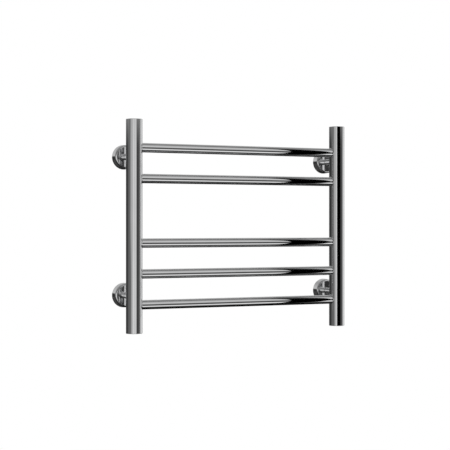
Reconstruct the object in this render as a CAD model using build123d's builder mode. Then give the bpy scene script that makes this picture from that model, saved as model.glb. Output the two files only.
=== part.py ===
from build123d import *
import os

# Ladder towel warmer for a bathroom wall: two upright tubes joined by five
# straight round rungs, held off the wall by four telescopic brackets with
# deep round covers, and plumbed through the lower ends of the uprights.
#
# Millimetres. Origin at the centre of the wall-screw pattern, on the wall.
# +X along the rungs, +Y into the wall, +Z up.

os.makedirs("parts", exist_ok=True)

# ---------------------------------------------------------------- dimensions
overall_width = 503.0
overall_height = 430.0
wall_to_axis = 60.0  # wall plane to the axes of the uprights

upright_d = 33.0
upright_wall = 1.5
end_edge = 0.5  # edge break on the cut ends

rung_d = 19.0
rung_wall = 1.2
rung_pitch = 62.0
rung_top_z = 158.0
towel_gap = 130.0  # pitch between the two groups of rungs

bracket_z = 141.0  # brackets above and below mid height

# bracket, all of it concentric with the wall screw
stem_r = 6.0
stem_bore_r = 4.03
stem_end = 3.0  # wall plane to the rear end of the stem
spigot_r = 4.0
spigot_length = 28.0
screw_hole_r = 2.5
base_r = 18.0
base_thickness = 2.0
key_flat = 3.2  # spigot axis to the flat that the set screw bears on
set_screw_y = 5.5
set_screw_r = 1.5
set_screw_hole_r = 1.55
cover_r = 25.0
cover_depth = 18.0
cover_shoulder_r = 4.0
cover_wall = 1.2
cover_hole_r = 6.35
grip_ring_section = 1.3

# pipe ends
socket_depth = 16.0
thread_r = 9.3155  # minor radius of a half-inch parallel pipe thread
plug_recess_r = 12.6
plug_recess_depth = 4.5
plug_head_r = 12.3
plug_head_z = 2.5
plug_shank_r = 9.25
plug_length = 15.0
seal_r = 10.7
seal_section = 1.9
plug_key = 10.0
vent_key = 12.0
bleed_shank_r = 2.5
bleed_hole_r = 2.55
bleed_head_r = 3.6

# derived
upright_x = overall_width / 2 - upright_d / 2
upright_r = upright_d / 2
bore_r = upright_r - upright_wall
half = overall_height / 2
axis_y = -wall_to_axis
rung_r = rung_d / 2
rung_bore_r = rung_r - rung_wall
second = rung_top_z - rung_pitch
third = second - towel_gap
rung_heights = [rung_top_z, second, third, third - rung_pitch, third - 2 * rung_pitch]
corners = {
    "top_left": (-upright_x, bracket_z),
    "top_right": (upright_x, bracket_z),
    "bottom_left": (-upright_x, -bracket_z),
    "bottom_right": (upright_x, -bracket_z),
}


# ------------------------------------------------------------------- uprights
with BuildPart() as left_upright:
    with BuildSketch(Plane.XY.offset(-half)):
        with Locations((-upright_x, axis_y)):
            Circle(upright_r)
            Circle(bore_r, mode=Mode.SUBTRACT)
    extrude(amount=overall_height)
    rims = left_upright.edges().filter_by(GeomType.CIRCLE).filter_by(
        lambda e: abs(e.radius - upright_r) < 0.01
    )
    chamfer(rims, end_edge)
    # the water ways into the rungs, through the inner side of the tube
    with BuildSketch(Plane.YZ.offset(-upright_x)):
        with Locations(*[(axis_y, z) for z in rung_heights]):
            Circle(rung_bore_r)
    extrude(amount=upright_d, mode=Mode.SUBTRACT)
left_upright.part.label = "left_upright"
export_step(left_upright.part, "parts/left_upright.step")

with BuildPart() as right_upright:
    with BuildSketch(Plane.XY.offset(-half)):
        with Locations((upright_x, axis_y)):
            Circle(upright_r)
            Circle(bore_r, mode=Mode.SUBTRACT)
    extrude(amount=overall_height)
    rims = right_upright.edges().filter_by(GeomType.CIRCLE).filter_by(
        lambda e: abs(e.radius - upright_r) < 0.01
    )
    chamfer(rims, end_edge)
    with BuildSketch(Plane.YZ.offset(upright_x)):
        with Locations(*[(axis_y, z) for z in rung_heights]):
            Circle(rung_bore_r)
    extrude(amount=-upright_d, mode=Mode.SUBTRACT)
right_upright.part.label = "right_upright"
export_step(right_upright.part, "parts/right_upright.step")


# ---------------------------------------------------------------------- rungs
# Straight tubes, saddle-cut at both ends to sit on the uprights.
for number, height in enumerate(rung_heights, 1):
    with BuildPart() as rung:
        with BuildSketch(Plane.YZ.offset(-upright_x)):
            with Locations((axis_y, height)):
                Circle(rung_r)
                Circle(rung_bore_r, mode=Mode.SUBTRACT)
        extrude(amount=2 * upright_x)
        with Locations((-upright_x, axis_y, height), (upright_x, axis_y, height)):
            Cylinder(upright_r, rung_d + 10, mode=Mode.SUBTRACT)
    rung.part.label = f"rung_{number}"
    export_step(rung.part, f"parts/rung_{number}.step")


# -------------------------------------------------------------- pipe sockets
# Turned sockets welded flush into the ends of both uprights. The lower two
# take the supply and return, the upper two take a plug and an air vent.
for side, x in (("left", -upright_x), ("right", upright_x)):
    with BuildPart() as lower_socket:
        with BuildSketch(Plane.XY.offset(-half)):
            with Locations((x, axis_y)):
                Circle(bore_r)
        extrude(amount=socket_depth)
        with BuildSketch(Plane.XY.offset(-half)):
            with Locations((x, axis_y)):
                Circle(thread_r)
        extrude(amount=socket_depth, mode=Mode.SUBTRACT)
        mouth = (
            lower_socket.edges()
            .filter_by(GeomType.CIRCLE)
            .filter_by(lambda e: abs(e.radius - thread_r) < 0.01)
            .sort_by(Axis.Z)[0]
        )
        chamfer(mouth, 0.8)
    lower_socket.part.label = f"{side}_inlet_socket"
    export_step(lower_socket.part, f"parts/{side}_inlet_socket.step")

    with BuildPart() as upper_socket:
        with BuildSketch(Plane.XY.offset(half)):
            with Locations((x, axis_y)):
                Circle(bore_r)
        extrude(amount=-socket_depth)
        with BuildSketch(Plane.XY.offset(half)):
            with Locations((x, axis_y)):
                Circle(thread_r)
        extrude(amount=-socket_depth, mode=Mode.SUBTRACT)
        with BuildSketch(Plane.XY.offset(half)):
            with Locations((x, axis_y)):
                Circle(plug_recess_r)
        extrude(amount=-plug_recess_depth, mode=Mode.SUBTRACT)
    upper_socket.part.label = f"{side}_top_socket"
    export_step(upper_socket.part, f"parts/{side}_top_socket.step")

    with BuildPart() as plug_seal:
        with BuildSketch(Plane(origin=(x, axis_y, 0), x_dir=(1, 0, 0), z_dir=(0, -1, 0))):
            with Locations((seal_r, half - plug_recess_depth + seal_section / 2)):
                Circle(seal_section / 2)
        revolve(axis=Axis((x, axis_y, 0), (0, 0, 1)))
    plug_seal.part.label = f"{side}_plug_seal"
    export_step(plug_seal.part, f"parts/{side}_plug_seal.step")

head_low = half - plug_recess_depth + seal_section
head_top = head_low + plug_head_z

# Blanking plug, left, tightened with a hexagon key in its head.
with BuildPart() as blanking_plug:
    with BuildSketch(Plane.XY.offset(head_low)):
        with Locations((-upright_x, axis_y)):
            Circle(plug_head_r)
    extrude(amount=plug_head_z)
    rim = blanking_plug.edges().filter_by(GeomType.CIRCLE).sort_by(Axis.Z)[-1]
    chamfer(rim, 0.4)
    with BuildSketch(Plane.XY.offset(head_top - plug_length)):
        with Locations((-upright_x, axis_y)):
            Circle(plug_shank_r)
    extrude(amount=plug_length - plug_head_z)
    tail = blanking_plug.edges().filter_by(GeomType.CIRCLE).sort_by(Axis.Z)[0]
    chamfer(tail, 1.0)
    with BuildSketch(Plane.XY.offset(head_top)):
        with Locations((-upright_x, axis_y)):
            RegularPolygon(plug_key / 2, 6, major_radius=False)
    extrude(amount=-6.0, mode=Mode.SUBTRACT)
blanking_plug.part.label = "blanking_plug"
export_step(blanking_plug.part, "parts/blanking_plug.step")

# Air vent plug, right, with the bleed screw down its middle.
vent_floor = head_top - 4.0
valve_floor = vent_floor - 5.5
with BuildPart() as vent_plug:
    with BuildSketch(Plane.XY.offset(head_low)):
        with Locations((upright_x, axis_y)):
            Circle(plug_head_r)
    extrude(amount=plug_head_z)
    rim = vent_plug.edges().filter_by(GeomType.CIRCLE).sort_by(Axis.Z)[-1]
    chamfer(rim, 0.4)
    with BuildSketch(Plane.XY.offset(head_top - plug_length)):
        with Locations((upright_x, axis_y)):
            Circle(plug_shank_r)
    extrude(amount=plug_length - plug_head_z)
    tail = vent_plug.edges().filter_by(GeomType.CIRCLE).sort_by(Axis.Z)[0]
    chamfer(tail, 1.0)
    with BuildSketch(Plane.XY.offset(head_top)):
        with Locations((upright_x, axis_y)):
            RegularPolygon(vent_key / 2, 6, major_radius=False)
    extrude(amount=vent_floor - head_top, mode=Mode.SUBTRACT)
    # threaded bore of the bleed screw and its seat orifice
    with BuildSketch(Plane.XY.offset(vent_floor)):
        with Locations((upright_x, axis_y)):
            Circle(bleed_hole_r)
    extrude(amount=valve_floor - vent_floor, mode=Mode.SUBTRACT)
    with BuildSketch(Plane.XY.offset(valve_floor)):
        with Locations((upright_x, axis_y)):
            Circle(0.8)
    extrude(amount=-10.0, mode=Mode.SUBTRACT)
    # groove that lets the air out past the thread
    with BuildSketch(Plane.XY.offset(vent_floor)):
        with Locations((upright_x + 2.9, axis_y)):
            Rectangle(1.6, 1.0)
    extrude(amount=-4.0, mode=Mode.SUBTRACT)
vent_plug.part.label = "vent_plug"
export_step(vent_plug.part, "parts/vent_plug.step")

with BuildPart() as bleed_screw:
    with BuildSketch(Plane(origin=(upright_x, axis_y, 0), x_dir=(1, 0, 0), z_dir=(0, -1, 0))):
        with BuildLine():
            Polyline(
                (0, valve_floor + 0.15),
                (0.7, valve_floor + 0.15),
                (bleed_shank_r, valve_floor + 1.6),
                (bleed_shank_r, vent_floor + 0.1),
                (bleed_head_r, vent_floor + 0.1),
                (bleed_head_r, vent_floor + 2.6),
                (bleed_head_r - 0.3, vent_floor + 2.9),
                (0, vent_floor + 2.9),
                close=True,
            )
        make_face()
    revolve(axis=Axis((upright_x, axis_y, 0), (0, 0, 1)))
    with BuildSketch(Plane.XY.offset(vent_floor + 2.9)):
        with Locations((upright_x, axis_y)):
            Rectangle(2 * bleed_head_r + 1, 1.0)
    extrude(amount=-1.3, mode=Mode.SUBTRACT)
bleed_screw.part.label = "bleed_screw"
export_step(bleed_screw.part, "parts/bleed_screw.step")


# ------------------------------------------------------------------- brackets
for corner, (x, z) in corners.items():
    # screwed to the wall: a disc with a hollow spigot for the wall screw
    with BuildPart() as wall_base:
        with BuildSketch(Plane.XZ):
            with Locations((x, z)):
                Circle(base_r)
        extrude(amount=base_thickness)
        rim = wall_base.edges().filter_by(GeomType.CIRCLE).sort_by(Axis.Y)[0]
        chamfer(rim, 0.5)
        with BuildSketch(Plane.XZ.offset(base_thickness)):
            with Locations((x, z)):
                Circle(spigot_r)
        extrude(amount=spigot_length - base_thickness)
        # flat along the underside, under the set screw
        with BuildSketch(Plane.XZ.offset(base_thickness + 1)):
            with Locations((x, z - key_flat - 1)):
                Rectangle(2 * spigot_r + 1, 2.0)
        extrude(amount=spigot_length - base_thickness - 5, mode=Mode.SUBTRACT)
        with BuildSketch(Plane.XZ):
            with Locations((x, z)):
                Circle(screw_hole_r)
        extrude(amount=spigot_length, mode=Mode.SUBTRACT)
    wall_base.part.label = f"wall_base_{corner}"
    export_step(wall_base.part, f"parts/wall_base_{corner}.step")

    # welded to the back of the upright: a sleeve that slides on the spigot
    with BuildPart() as stem:
        with BuildSketch(Plane.XZ.offset(stem_end)):
            with Locations((x, z)):
                Circle(stem_r)
                Circle(stem_bore_r, mode=Mode.SUBTRACT)
        extrude(amount=wall_to_axis - stem_end)
        with Locations((x, axis_y, z)):
            Cylinder(upright_r, 2 * stem_r + 10, mode=Mode.SUBTRACT)
        with BuildSketch(Plane.XY.offset(z - stem_r - 1)):
            with Locations((x, -set_screw_y)):
                Circle(set_screw_hole_r)
        extrude(amount=stem_r, mode=Mode.SUBTRACT)
    stem.part.label = f"stem_{corner}"
    export_step(stem.part, f"parts/stem_{corner}.step")

    # cone-point set screw in the underside of the stem
    with BuildPart() as set_screw:
        with BuildSketch(Plane(origin=(x, -set_screw_y, z), x_dir=(1, 0, 0), z_dir=(0, -1, 0))):
            with BuildLine():
                Polyline(
                    (0, -stem_r + 0.15),
                    (set_screw_r - 0.2, -stem_r + 0.15),
                    (set_screw_r, -stem_r + 0.35),
                    (set_screw_r, -key_flat - 0.6),
                    (set_screw_r - 0.55, -key_flat - 0.05),
                    (0, -key_flat - 0.05),
                    close=True,
                )
            make_face()
        revolve(axis=Axis((x, -set_screw_y, z), (0, 0, 1)))
        with BuildSketch(Plane.XY.offset(z - stem_r + 0.15)):
            with Locations((x, -set_screw_y)):
                RegularPolygon(0.75, 6, major_radius=False)
        extrude(amount=1.3, mode=Mode.SUBTRACT)
    set_screw.part.label = f"set_screw_{corner}"
    export_step(set_screw.part, f"parts/set_screw_{corner}.step")

    # deep-drawn cup cover: slightly tapered side wall, rounded shoulder, flat
    # face, and a short collar behind the face that holds the grip ring
    face_y = -cover_depth
    shoulder_y = -(cover_depth - cover_shoulder_r)
    face_r = 20.4
    inner_shoulder_r = cover_shoulder_r - cover_wall
    k = 0.70710678
    with BuildPart() as cover:
        with BuildSketch(Plane(origin=(x, 0, z))):
            with BuildLine():
                Line((cover_r, -0.2), (cover_r, -1.0))
                Line((cover_r, -1.0), (face_r + cover_shoulder_r, shoulder_y))
                ThreePointArc(
                    (face_r + cover_shoulder_r, shoulder_y),
                    (face_r + cover_shoulder_r * k, shoulder_y - cover_shoulder_r * k),
                    (face_r, face_y),
                )
                Line((face_r, face_y), (cover_hole_r, face_y))
                Line((cover_hole_r, face_y), (cover_hole_r, face_y + 3.0))
                Line((cover_hole_r, face_y + 3.0), (7.45, face_y + 3.0))
                Line((7.45, face_y + 3.0), (7.45, face_y + 4.45))
                Line((7.45, face_y + 4.45), (cover_hole_r, face_y + 4.45))
                Line((cover_hole_r, face_y + 4.45), (cover_hole_r, face_y + 5.3))
                Line((cover_hole_r, face_y + 5.3), (8.7, face_y + 5.3))
                Line((8.7, face_y + 5.3), (8.7, face_y + cover_wall))
                Line((8.7, face_y + cover_wall), (face_r, face_y + cover_wall))
                ThreePointArc(
                    (face_r, face_y + cover_wall),
                    (face_r + inner_shoulder_r * k, shoulder_y - inner_shoulder_r * k),
                    (face_r + inner_shoulder_r, shoulder_y),
                )
                Line((face_r + inner_shoulder_r, shoulder_y), (cover_r - cover_wall, -1.0))
                Line((cover_r - cover_wall, -1.0), (cover_r - cover_wall, -0.2))
                Line((cover_r - cover_wall, -0.2), (cover_r, -0.2))
            make_face()
        revolve(axis=Axis((x, 0, z), (0, 1, 0)))
    cover.part.label = f"cover_{corner}"
    export_step(cover.part, f"parts/cover_{corner}.step")

    # rubber ring in the collar that grips the stem
    with BuildPart() as grip_ring:
        with BuildSketch(Plane(origin=(x, 0, z))):
            with Locations((stem_r + 0.06 + grip_ring_section / 2, -cover_depth + 3.725)):
                Circle(grip_ring_section / 2)
        revolve(axis=Axis((x, 0, z), (0, 1, 0)))
    grip_ring.part.label = f"grip_ring_{corner}"
    export_step(grip_ring.part, f"parts/grip_ring_{corner}.step")
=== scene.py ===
import math

import bpy
import numpy as np
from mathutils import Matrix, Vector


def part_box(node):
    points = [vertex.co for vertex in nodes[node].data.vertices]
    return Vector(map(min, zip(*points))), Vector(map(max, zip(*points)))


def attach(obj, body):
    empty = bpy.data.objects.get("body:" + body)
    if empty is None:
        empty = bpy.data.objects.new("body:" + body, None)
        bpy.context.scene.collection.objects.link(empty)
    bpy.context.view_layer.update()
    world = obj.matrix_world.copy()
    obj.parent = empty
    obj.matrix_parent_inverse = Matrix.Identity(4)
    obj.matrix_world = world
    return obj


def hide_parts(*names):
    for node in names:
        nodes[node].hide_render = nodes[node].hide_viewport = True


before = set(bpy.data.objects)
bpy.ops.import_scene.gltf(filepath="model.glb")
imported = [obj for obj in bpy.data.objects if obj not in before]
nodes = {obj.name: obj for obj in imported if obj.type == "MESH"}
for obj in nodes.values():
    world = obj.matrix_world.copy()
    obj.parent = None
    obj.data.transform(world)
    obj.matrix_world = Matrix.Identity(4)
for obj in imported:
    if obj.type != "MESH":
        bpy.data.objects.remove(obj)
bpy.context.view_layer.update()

# ------------------------------------------------------------------ measures
# All in metres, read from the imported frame.
lo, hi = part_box("left_upright")
UP_R = (hi.x - lo.x) / 2
UP_X = -(lo.x + hi.x) / 2
AXIS_Y = (lo.y + hi.y) / 2
Z_LOW, Z_TOP = lo.z, hi.z
RUNGS = []
for i in range(1, 6):
    a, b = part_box(f"rung_{i}")
    RUNGS.append(((a.z + b.z) / 2, (b.z - a.z) / 2))
CORNERS = ("top_left", "top_right", "bottom_left", "bottom_right")
SOCKET_R = (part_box("left_top_socket")[1].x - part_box("left_top_socket")[0].x) / 2

MM = 0.001


# ------------------------------------------------------------------- mesh kit
def make_object(name, verts, faces, sharp=32):
    mesh = bpy.data.meshes.new(name)
    mesh.from_pydata([tuple(v) for v in verts], [], [tuple(f) for f in faces])
    mesh.validate()
    mesh.update()
    for p in mesh.polygons:
        p.use_smooth = True
    mesh.set_sharp_from_angle(angle=math.radians(sharp))
    obj = bpy.data.objects.new(name, mesh)
    bpy.context.scene.collection.objects.link(obj)
    return obj


def grid_faces(rows, cols, close_rows=True, close_cols=True):
    """Quads of a grid of rows x cols points, closed round both ways."""
    faces = []
    for i in range(rows if close_rows else rows - 1):
        for j in range(cols if close_cols else cols - 1):
            a = i * cols + j
            b = i * cols + (j + 1) % cols
            c = ((i + 1) % rows) * cols + (j + 1) % cols
            d = ((i + 1) % rows) * cols + j
            faces.append((a, b, c, d))
    return faces


def flip_if_inside_out(obj):
    """Turns the faces round if the closed mesh has a negative volume."""
    mesh = obj.data
    co = np.array([v.co for v in mesh.vertices], float)
    total = 0.0
    for p in mesh.polygons:
        v = list(p.vertices)
        for k in range(1, len(v) - 1):
            total += np.dot(co[v[0]], np.cross(co[v[k]], co[v[k + 1]]))
    if total < 0:
        mesh.flip_normals()
    return obj


def arc(cx, cy, r, a0, a1, n):
    return [
        (cx + r * math.cos(math.radians(a0 + (a1 - a0) * k / n)),
         cy + r * math.sin(math.radians(a0 + (a1 - a0) * k / n)))
        for k in range(n + 1)
    ]


def lathe(name, profile, origin, axis, segments=160, sharp=32):
    """Turns a closed profile of (radius, distance along the axis) round the axis."""
    ox, oy, oz = origin
    verts = []
    for r, t in profile:
        for k in range(segments):
            a = 2 * math.pi * k / segments
            c, s = r * math.cos(a), r * math.sin(a)
            if axis == "z":
                verts.append((ox + c, oy + s, oz + t))
            else:  # y
                verts.append((ox + c, oy + t, oz + s))
    obj = make_object(name, verts, grid_faces(len(profile), segments), sharp)
    return flip_if_inside_out(obj)


# ------------------------------------------------------------------ materials
def srgb(v):
    v = v / 255.0
    return v / 12.92 if v <= 0.04045 else ((v + 0.055) / 1.055) ** 2.4


def new_material(name):
    mat = bpy.data.materials.new(name)
    mat.use_nodes = True
    nt = mat.node_tree
    nt.nodes.clear()
    out = nt.nodes.new("ShaderNodeOutputMaterial")
    bsdf = nt.nodes.new("ShaderNodeBsdfPrincipled")
    nt.links.new(bsdf.outputs["BSDF"], out.inputs["Surface"])
    return mat, nt, bsdf


def node(nt, kind, **values):
    n = nt.nodes.new(kind)
    for key, value in values.items():
        setattr(n, key, value)
    return n


def mapped(nt, scale=(1, 1, 1)):
    tc = node(nt, "ShaderNodeTexCoord")
    mp = node(nt, "ShaderNodeMapping")
    mp.inputs["Scale"].default_value = scale
    nt.links.new(tc.outputs["Object"], mp.inputs["Vector"])
    return mp.outputs["Vector"]


def noise(nt, vector, scale, detail=3.0, rough=0.5):
    n = node(nt, "ShaderNodeTexNoise")
    n.inputs["Scale"].default_value = scale
    n.inputs["Detail"].default_value = detail
    n.inputs["Roughness"].default_value = rough
    nt.links.new(vector, n.inputs["Vector"])
    return n.outputs["Fac"]


def remap(nt, value, a, b, c, d):
    m = node(nt, "ShaderNodeMapRange")
    m.inputs["From Min"].default_value = a
    m.inputs["From Max"].default_value = b
    m.inputs["To Min"].default_value = c
    m.inputs["To Max"].default_value = d
    nt.links.new(value, m.inputs["Value"])
    return m.outputs["Result"]


def math_node(nt, op, a, b=None, c=None):
    m = node(nt, "ShaderNodeMath", operation=op)
    for k, v in enumerate((a, b, c)):
        if v is None:
            continue
        if isinstance(v, (int, float)):
            m.inputs[k].default_value = v
        else:
            nt.links.new(v, m.inputs[k])
    return m.outputs["Value"]


def mix_colour(nt, fac, a, b):
    m = node(nt, "ShaderNodeMix", data_type="RGBA")
    if isinstance(fac, (int, float)):
        m.inputs[0].default_value = fac
    else:
        nt.links.new(fac, m.inputs[0])
    for k, v in ((6, a), (7, b)):
        if isinstance(v, tuple):
            m.inputs[k].default_value = v
        else:
            nt.links.new(v, m.inputs[k])
    return m.outputs[2]


def bump(nt, height, strength, distance, normal=None):
    b = node(nt, "ShaderNodeBump")
    b.inputs["Strength"].default_value = strength
    b.inputs["Distance"].default_value = distance
    nt.links.new(height, b.inputs["Height"])
    if normal is not None:
        nt.links.new(normal, b.inputs["Normal"])
    return b.outputs["Normal"]


def chrome(name, stretch, base=0.86, rough=(0.035, 0.075)):
    """Polished chrome: even, very slightly wavy, with faint polishing lines and dull patches left by handling. stretch is the scale of the polishing lines along each axis."""
    mat, nt, bsdf = new_material(name)
    plain = mapped(nt)
    lines = mapped(nt, stretch)
    smudge = noise(nt, plain, 38.0, 4.0, 0.55)
    streak = noise(nt, lines, 1.0, 3.0, 0.6)
    wave = noise(nt, plain, 16.0, 1.0, 0.4)
    both = math_node(nt, "MULTIPLY_ADD", streak, 0.45, smudge)
    nt.links.new(remap(nt, both, 0.45, 1.0, rough[0], rough[1]), bsdf.inputs["Roughness"])
    tint = mix_colour(
        nt, remap(nt, smudge, 0.3, 0.7, 0.0, 1.0),
        (base, base * 1.003, base * 1.010, 1), (base * 0.965, base * 0.968, base * 0.972, 1),
    )
    nt.links.new(tint, bsdf.inputs["Base Color"])
    bsdf.inputs["Metallic"].default_value = 1.0
    n1 = bump(nt, wave, 0.25, 0.00006)
    n2 = bump(nt, streak, 0.08, 0.00002, n1)
    nt.links.new(n2, bsdf.inputs["Normal"])
    return mat


def turned_chrome(name, x, z, base=0.87):
    """Chrome on a spun or turned face: faint rings round the bracket's axis."""
    mat, nt, bsdf = new_material(name)
    tc = node(nt, "ShaderNodeTexCoord")
    sep = node(nt, "ShaderNodeSeparateXYZ")
    nt.links.new(tc.outputs["Object"], sep.inputs["Vector"])
    dx = math_node(nt, "SUBTRACT", sep.outputs["X"], x)
    dz = math_node(nt, "SUBTRACT", sep.outputs["Z"], z)
    r2 = math_node(nt, "ADD", math_node(nt, "MULTIPLY", dx, dx), math_node(nt, "MULTIPLY", dz, dz))
    r = math_node(nt, "SQRT", r2)
    rings = node(nt, "ShaderNodeTexNoise", noise_dimensions="1D")
    rings.inputs["Scale"].default_value = 2600.0
    rings.inputs["Detail"].default_value = 2.0
    nt.links.new(r, rings.inputs["W"])
    smudge = noise(nt, tc.outputs["Object"], 60.0, 3.0, 0.5)
    both = math_node(nt, "MULTIPLY_ADD", rings.outputs["Fac"], 0.4, smudge)
    nt.links.new(remap(nt, both, 0.4, 1.0, 0.05, 0.12), bsdf.inputs["Roughness"])
    tint = mix_colour(
        nt, remap(nt, smudge, 0.3, 0.7, 0.0, 1.0),
        (base, base * 1.003, base * 1.010, 1), (base * 0.95, base * 0.953, base * 0.957, 1),
    )
    nt.links.new(tint, bsdf.inputs["Base Color"])
    bsdf.inputs["Metallic"].default_value = 1.0
    nt.links.new(bump(nt, rings.outputs["Fac"], 0.12, 0.00003), bsdf.inputs["Normal"])
    return mat


def metal(name, colour, rough, grain=220.0, depth=0.00004):
    """Satin metal with a fine grain and uneven tone."""
    mat, nt, bsdf = new_material(name)
    v = mapped(nt)
    fine = noise(nt, v, grain * 6, 3.0, 0.6)
    broad = noise(nt, v, grain * 0.4, 3.0, 0.5)
    tint = mix_colour(
        nt, remap(nt, broad, 0.3, 0.7, 0.0, 1.0),
        tuple(c * 1.05 for c in colour) + (1,), tuple(c * 0.86 for c in colour) + (1,),
    )
    nt.links.new(tint, bsdf.inputs["Base Color"])
    nt.links.new(remap(nt, broad, 0.3, 0.7, rough * 0.75, rough * 1.3), bsdf.inputs["Roughness"])
    bsdf.inputs["Metallic"].default_value = 1.0
    nt.links.new(bump(nt, fine, 0.2, depth), bsdf.inputs["Normal"])
    return mat


def rubber(name):
    mat, nt, bsdf = new_material(name)
    v = mapped(nt)
    fine = noise(nt, v, 1400.0, 2.0, 0.6)
    broad = noise(nt, v, 90.0, 3.0, 0.5)
    tint = mix_colour(nt, broad, (0.018, 0.018, 0.019, 1), (0.034, 0.033, 0.033, 1))
    nt.links.new(tint, bsdf.inputs["Base Color"])
    nt.links.new(remap(nt, broad, 0.3, 0.7, 0.55, 0.75), bsdf.inputs["Roughness"])
    nt.links.new(bump(nt, fine, 0.25, 0.00005), bsdf.inputs["Normal"])
    return mat


MAT_UPRIGHT = chrome("chrome_upright", (260, 260, 4))
MAT_RUNG = chrome("chrome_rung", (4, 300, 300))
MAT_STEM = chrome("chrome_stem", (300, 4, 300), base=0.90)
MAT_PLUG = metal("satin_chrome_plug", (0.74, 0.745, 0.75), 0.16)
MAT_SOCKET = metal("machined_steel", (0.56, 0.56, 0.57), 0.28)
MAT_BASE = metal("zinc_plate", (0.60, 0.62, 0.64), 0.30)
MAT_SCREW = metal("black_steel", (0.05, 0.05, 0.055), 0.38)
MAT_BRASS = metal("turned_brass", (0.70, 0.53, 0.26), 0.24)
MAT_RUBBER = rubber("black_rubber")


def paint(obj, mat):
    if obj.data.materials:
        for k in range(len(obj.data.materials)):
            obj.data.materials[k] = mat
    else:
        obj.data.materials.append(mat)


# ------------------------------------------------------------------- uprights
def upright(side, sign):
    e = 0.55 * MM
    profile = []
    # the extra rings next to the rounded ends keep the wall's shading straight
    profile += arc(UP_R - e, Z_LOW + e, e, -90, 0, 6) + [(UP_R, Z_LOW + e + 0.25 * MM), (UP_R, Z_LOW + e + 1.0 * MM)]
    profile += [(UP_R, Z_TOP - e - 1.0 * MM), (UP_R, Z_TOP - e - 0.25 * MM)] + arc(UP_R - e, Z_TOP - e, e, 0, 90, 6)
    profile += [(SOCKET_R + 0.15 * MM, Z_TOP), (SOCKET_R, Z_TOP - 0.15 * MM)]
    profile += [(SOCKET_R, Z_LOW + 0.15 * MM), (SOCKET_R + 0.15 * MM, Z_LOW)]
    obj = lathe(f"{side}_upright_tube", profile, (sign * UP_X, AXIS_Y, 0), "z", 256)
    paint(obj, MAT_UPRIGHT)
    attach(obj, "rail")
    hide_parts(f"{side}_upright")
    return obj


upright("left", -1)
upright("right", 1)


# ---------------------------------------------------------------------- rungs
def rung(i, z, r, fillet=1.3 * MM, bore=8.3 * MM, n=144, steps=9):
    """A straight tube whose ends sweep out in a small polished weld fillet onto the uprights."""
    rows = []  # each row is one ring of n points: outer side from left to right, then the bore back

    def surface_x(rho, a):
        y = rho * math.cos(a)
        return UP_X - math.sqrt(max(UP_R**2 - y * y, 0))

    def ring(fn):
        pts = []
        for k in range(n):
            a = 2 * math.pi * k / n
            x, rho = fn(a)
            pts.append((x, AXIS_Y + rho * math.cos(a), z + rho * math.sin(a)))
        return pts

    def fillet_ring(s, sign):
        # s runs from 0, on the tube, to 1, on the upright
        def fn(a):
            x_corner = surface_x(r, a)
            p0 = (x_corner - fillet * 1.15, r)
            p1 = (x_corner, r)
            p2 = (surface_x(r + fillet, a) + 0.06 * MM, r + fillet)
            x = (1 - s) ** 2 * p0[0] + 2 * s * (1 - s) * p1[0] + s * s * p2[0]
            q = (1 - s) ** 2 * p0[1] + 2 * s * (1 - s) * p1[1] + s * s * p2[1]
            return sign * x, q
        return ring(fn)

    rows.append(ring(lambda a: (-(surface_x(r + fillet, a) + 0.5 * MM), r + fillet)))
    for k in range(steps + 1):
        rows.append(fillet_ring(1 - k / steps, -1))
    span = surface_x(r, math.pi / 2) - fillet * 1.15
    for x in [-span + 0.15 * MM, -span + 0.6 * MM] + [-span + 2 * span * k / 12 for k in range(1, 12)] + [span - 0.6 * MM, span - 0.15 * MM]:
        rows.append(ring(lambda a, x=x: (x, r)))
    for k in range(steps + 1):
        rows.append(fillet_ring(k / steps, 1))
    rows.append(ring(lambda a: (surface_x(r + fillet, a) + 0.5 * MM, r + fillet)))
    rows.append(ring(lambda a: (surface_x(bore, a) + 0.5 * MM, bore)))
    rows.append(ring(lambda a: (-(surface_x(bore, a) + 0.5 * MM), bore)))
    verts = [p for row in rows for p in row]
    obj = make_object(f"rung_{i}_tube", verts, grid_faces(len(rows), n), 50)
    flip_if_inside_out(obj)
    paint(obj, MAT_RUNG)
    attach(obj, "rail")
    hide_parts(f"rung_{i}")
    return obj


for i, (z, r) in enumerate(RUNGS, 1):
    rung(i, z, r)


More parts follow.
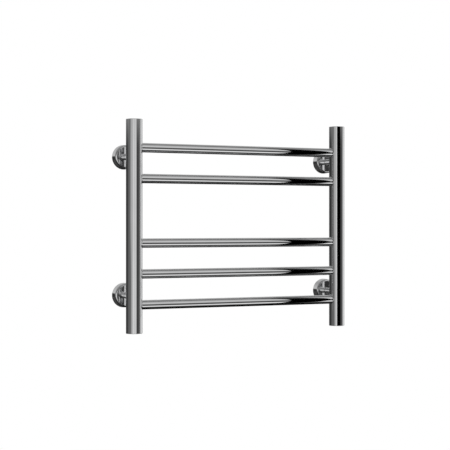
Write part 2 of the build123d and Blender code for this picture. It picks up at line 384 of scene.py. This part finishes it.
# ------------------------------------------------------------------- brackets
def cover(corner):
    a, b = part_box(f"cover_{corner}")
    x, z = (a.x + b.x) / 2, (a.z + b.z) / 2
    # deep-drawn cup: side wall with a slight taper, rounded shoulder, flat face;
    # radius and distance in front of the wall, in mm
    H = -a.y / MM
    R0, R1, F = (b.x - a.x) / 2 / MM, 24.4, 4.0
    front = [(R0 - 0.12, 0.2), (R0, 0.32), (R0, 0.6), (R0, 1.0)]
    front += [(R0 + (R1 - R0) * k / 12, 1.0 + (H - F - 1.0) * k / 12) for k in range(1, 13)]
    front += [(R1 - F + F * math.cos(math.radians(t)), H - F + F * math.sin(math.radians(t))) for t in range(5, 91, 5)]
    front += [(R1 - F - 0.2, H), (R1 - F - 0.8, H)]
    front += [(R1 - F - 0.8 + (6.9 - (R1 - F - 0.8)) * k / 8, H) for k in range(1, 9)]
    front += [(6.5, H), (6.28, H - 0.04), (6.16, H - 0.12), (6.12, H - 0.3)]
    back = [(6.12, H - 2.6), (6.36, H - 3.0), (7.45, H - 3.0), (7.45, H - 4.45), (6.36, H - 4.45), (6.36, H - 5.3), (8.7, H - 5.3), (8.7, H - 1.2)]
    back += [(R1 - F, H - 1.2)] + [(R1 - F + (F - 1.2) * math.sin(math.radians(t)), H - F + (F - 1.2) * math.cos(math.radians(t))) for t in range(15, 91, 15)]
    back += [(R0 - 1.2, 1.0), (R0 - 1.2, 0.2)]
    profile = [(r * MM, -t * MM) for r, t in front + back]
    obj = lathe(f"cover_{corner}_plate", profile, (x, 0, z), "y", 192, 40)
    paint(obj, turned_chrome(f"turned_chrome_{corner}", x, z))
    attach(obj, f"cover_{corner}")
    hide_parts(f"cover_{corner}")
    return obj


def stem_weld(corner, rows=9, n=96):
    """Small polished weld fillet between a stem and the back of its upright."""
    a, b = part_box(f"stem_{corner}")
    x, z, r = (a.x + b.x) / 2, (a.z + b.z) / 2, (b.x - a.x) / 2
    size = 1.5 * MM

    def back_y(rho, t):
        across = rho * math.cos(t)
        return AXIS_Y + math.sqrt(UP_R**2 - across**2)

    verts = []
    for k in range(rows + 3):
        for j in range(n):
            t = 2 * math.pi * j / n
            if k <= rows:
                s = k / rows
                y0 = back_y(r, t)
                p0, p1, p2 = (y0 + size, r + 0.03 * MM), (y0, r), (back_y(r + size, t) - 0.04 * MM, r + size)
                y = (1 - s) ** 2 * p0[0] + 2 * s * (1 - s) * p1[0] + s * s * p2[0]
                rho = (1 - s) ** 2 * p0[1] + 2 * s * (1 - s) * p1[1] + s * s * p2[1]
            elif k == rows + 1:
                rho = r - 0.5 * MM
                y = back_y(rho, t) - 0.3 * MM
            else:
                rho = r - 0.5 * MM
                y = back_y(r, t) + size - 0.3 * MM
            verts.append((x + rho * math.cos(t), y, z + rho * math.sin(t)))
    obj = make_object(f"stem_weld_{corner}", verts, grid_faces(rows + 3, n), 60)
    flip_if_inside_out(obj)
    paint(obj, MAT_STEM)
    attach(obj, "rail")
    return obj


for corner in CORNERS:
    cover(corner)
    stem_weld(corner)
    paint(nodes[f"stem_{corner}"], MAT_STEM)
    paint(nodes[f"wall_base_{corner}"], MAT_BASE)
    paint(nodes[f"set_screw_{corner}"], MAT_SCREW)
    paint(nodes[f"grip_ring_{corner}"], MAT_RUBBER)

for side in ("left", "right"):
    paint(nodes[f"{side}_inlet_socket"], MAT_SOCKET)
    paint(nodes[f"{side}_top_socket"], MAT_SOCKET)
    paint(nodes[f"{side}_plug_seal"], MAT_RUBBER)
paint(nodes["blanking_plug"], MAT_PLUG)
paint(nodes["vent_plug"], MAT_PLUG)
paint(nodes["bleed_screw"], MAT_BRASS)


# --------------------------------------------------------------- studio light
def ramp(nt, value, low, high, stops):
    """stops is a list of (position, grey level as it should show in polished chrome)."""
    r = node(nt, "ShaderNodeValToRGB")
    nt.links.new(remap(nt, value, low, high, 0.0, 1.0), r.inputs["Fac"])
    el = r.color_ramp.elements
    stops = sorted(stops)
    while len(el) < len(stops):
        el.new(0.5)
    for e, (p, g) in zip(el, stops):
        e.position = (p - low) / (high - low)
        v = srgb(g) / 0.87
        e.color = (v, v, v, 1)
    r.color_ramp.interpolation = "LINEAR"
    return r.outputs["Color"]


def studio():
    world = bpy.data.worlds.new("studio")
    bpy.context.scene.world = world
    world.use_nodes = True
    nt = world.node_tree
    nt.nodes.clear()
    out = node(nt, "ShaderNodeOutputWorld")
    tc = node(nt, "ShaderNodeTexCoord")
    sep = node(nt, "ShaderNodeSeparateXYZ")
    nt.links.new(tc.outputs["Generated"], sep.inputs["Vector"])
    x, y, z = sep.outputs["X"], sep.outputs["Y"], sep.outputs["Z"]
    front = math_node(nt, "MULTIPLY", y, -1.0)
    around = math_node(nt, "MULTIPLY", math_node(nt, "ARCTAN2", x, front), 180 / math.pi)
    tilt = math_node(nt, "MULTIPLY", math_node(nt, "ARCTAN2", z, front), 180 / math.pi)
    # round the set, seen in the uprights: an open left half, a tall softbox ahead,
    # a dark flag to the right of it, an open right half and a dim corner behind
    horizon = ramp(nt, around, -180, 180, [
        (-180, 60), (-160, 45), (-132, 50), (-112, 85), (-92, 100), (-78, 110),  # dim behind, left
        (-66, 168), (-48, 168), (-38, 190), (-30, 212), (-17, 184), (-5, 208),  # left softboxes
        (5, 185), (12, 150), (20, 60), (28, 35), (40, 76), (56, 76), (64, 105),  # flag right of centre
        (74, 180), (100, 218), (117, 215), (127, 50), (160, 40), (167, 165), (177, 165), (180, 60),  # right softbox, slim one behind
    ])
    # the left softbox stops short of the floor, so its far edge sits nearer below eye level
    horizon_low = ramp(nt, around, -180, 180, [
        (-180, 60), (-160, 45), (-132, 50), (-112, 85), (-92, 98), (-78, 96),
        (-68, 108), (-55, 168), (-38, 190), (-30, 218), (-17, 190), (-5, 208),
        (5, 185), (12, 150), (20, 60), (28, 35), (40, 76), (56, 76), (64, 105),
        (74, 180), (100, 218), (117, 215), (127, 50), (160, 40), (167, 165), (177, 165), (180, 60),
    ])
    horizon = mix_colour(nt, remap(nt, z, -0.002, -0.034, 0.0, 1.0), horizon, horizon_low)
    # above and below the set, seen in the rungs: strip lights, a ceiling and a low bounce
    dome = ramp(nt, tilt, -180, 180, [
        (-180, 60), (-150, 32), (-120, 14), (-90, 10), (-76, 10), (-64, 76), (-55, 110),  # under the set
        (-47, 215), (-38, 245), (-29, 205), (-21, 50), (-13, 90), (-5, 80),  # low strip
        (4, 190), (14, 125), (28, 220), (42, 170), (58, 180),  # strips at eye level and above
        (75, 115), (95, 125), (120, 160), (150, 172), (180, 180),  # ceiling
    ])
    # the left half is plainer: a soft top light behind, a band at eye level, dark below
    dome_left = ramp(nt, tilt, -180, 180, [
        (-180, 66), (-150, 62), (-120, 50), (-90, 40), (-60, 36), (-35, 36), (-26, 120),
        (-18, 200), (-8, 205), (4, 190), (12, 160), (20, 105), (32, 85), (50, 110), (64, 150), (85, 125),
        (120, 140), (144, 145), (158, 178), (180, 190),
    ])
    side = remap(nt, x, -0.12, 0.12, 0.0, 1.0)
    up = remap(nt, z, 0.064, 0.13, 0.0, 1.0)
    down = remap(nt, z, -0.095, -0.17, 0.0, 1.0)
    blend = math_node(nt, "MAXIMUM", up, down)
    light = mix_colour(nt, blend, horizon, mix_colour(nt, side, dome_left, dome))
    path = node(nt, "ShaderNodeLightPath")
    shown = mix_colour(nt, path.outputs["Is Camera Ray"], light, (1.0, 1.0, 1.0, 1))
    bg = node(nt, "ShaderNodeBackground")
    nt.links.new(shown, bg.inputs["Color"])
    nt.links.new(bg.outputs["Background"], out.inputs["Surface"])


studio()


def floor():
    mesh = bpy.data.meshes.new("floor")
    n, rad, z = 96, 30.0, -1.0
    verts = [(rad * math.cos(2 * math.pi * k / n), rad * math.sin(2 * math.pi * k / n), z) for k in range(n)]
    mesh.from_pydata(verts, [], [tuple(range(n))])
    obj = bpy.data.objects.new("floor", mesh)
    bpy.context.scene.collection.objects.link(obj)
    mat = bpy.data.materials.new("pale_floor")
    mat.use_nodes = True
    nt = mat.node_tree
    nt.nodes.clear()
    out = node(nt, "ShaderNodeOutputMaterial")
    tc = node(nt, "ShaderNodeTexCoord")
    length = node(nt, "ShaderNodeVectorMath", operation="LENGTH")
    nt.links.new(tc.outputs["Object"], length.inputs[0])
    far = remap(nt, length.outputs["Value"], 1.5, 3.2, 0.0, 1.0)
    diffuse = node(nt, "ShaderNodeBsdfDiffuse")
    speck = noise(nt, tc.outputs["Object"], 3.0, 4.0, 0.5)
    nt.links.new(mix_colour(nt, speck, (0.93, 0.93, 0.93, 1), (0.96, 0.96, 0.96, 1)), diffuse.inputs["Color"])
    glow = node(nt, "ShaderNodeEmission")
    glow.inputs["Color"].default_value = (1, 1, 1, 1)
    glow.inputs["Strength"].default_value = 1.0
    near_glow = node(nt, "ShaderNodeEmission")
    near_glow.inputs["Strength"].default_value = 0.62
    add = node(nt, "ShaderNodeAddShader")
    nt.links.new(diffuse.outputs[0], add.inputs[0])
    nt.links.new(near_glow.outputs[0], add.inputs[1])
    mixs = node(nt, "ShaderNodeMixShader")
    nt.links.new(far, mixs.inputs["Fac"])
    nt.links.new(add.outputs[0], mixs.inputs[1])
    nt.links.new(glow.outputs[0], mixs.inputs[2])
    nt.links.new(mixs.outputs[0], out.inputs["Surface"])
    obj.data.materials.append(mat)
    obj.visible_glossy = False


floor()


def flag(name, x0, x1, y, z0, z1, level=0.0):
    """A tall card near the rack that shows only in its reflections."""
    mesh = bpy.data.meshes.new(name)
    mesh.from_pydata([(x0, y, z0), (x1, y, z0), (x1, y, z1), (x0, y, z1)], [], [(0, 1, 2, 3)])
    obj = bpy.data.objects.new(name, mesh)
    bpy.context.scene.collection.objects.link(obj)
    mat = bpy.data.materials.new(name)
    mat.use_nodes = True
    nt = mat.node_tree
    nt.nodes.clear()
    out = node(nt, "ShaderNodeOutputMaterial")
    em = node(nt, "ShaderNodeEmission")
    em.inputs["Color"].default_value = (1, 1, 1, 1)
    em.inputs["Strength"].default_value = level
    nt.links.new(em.outputs[0], out.inputs["Surface"])
    obj.data.materials.append(mat)
    obj.visible_camera = False
    obj.visible_diffuse = False
    obj.visible_shadow = False
    obj.visible_transmission = False
    return obj


flag("flag_right", 0.178, 0.280, AXIS_Y - 0.120, -0.70, 0.90)


# --------------------------------------------------------------------- camera
cam_data = bpy.data.cameras.new("camera")
cam = bpy.data.objects.new("camera", cam_data)
bpy.context.scene.collection.objects.link(cam)
cam_data.sensor_width = 36.0
cam_data.lens = 1264.6 / 450 * 36.0
cam_data.clip_start = 0.05
cam_data.clip_end = 200
cam.location = (-1.16456, AXIS_Y - 2.36645, 0.00233)
cam.rotation_euler = (math.radians(90.0 + 0.004), 0.0, -math.radians(25.554))
bpy.context.scene.camera = cam
bpy.context.scene.view_settings.view_transform = "Standard"
bpy.context.scene.view_settings.look = "None"
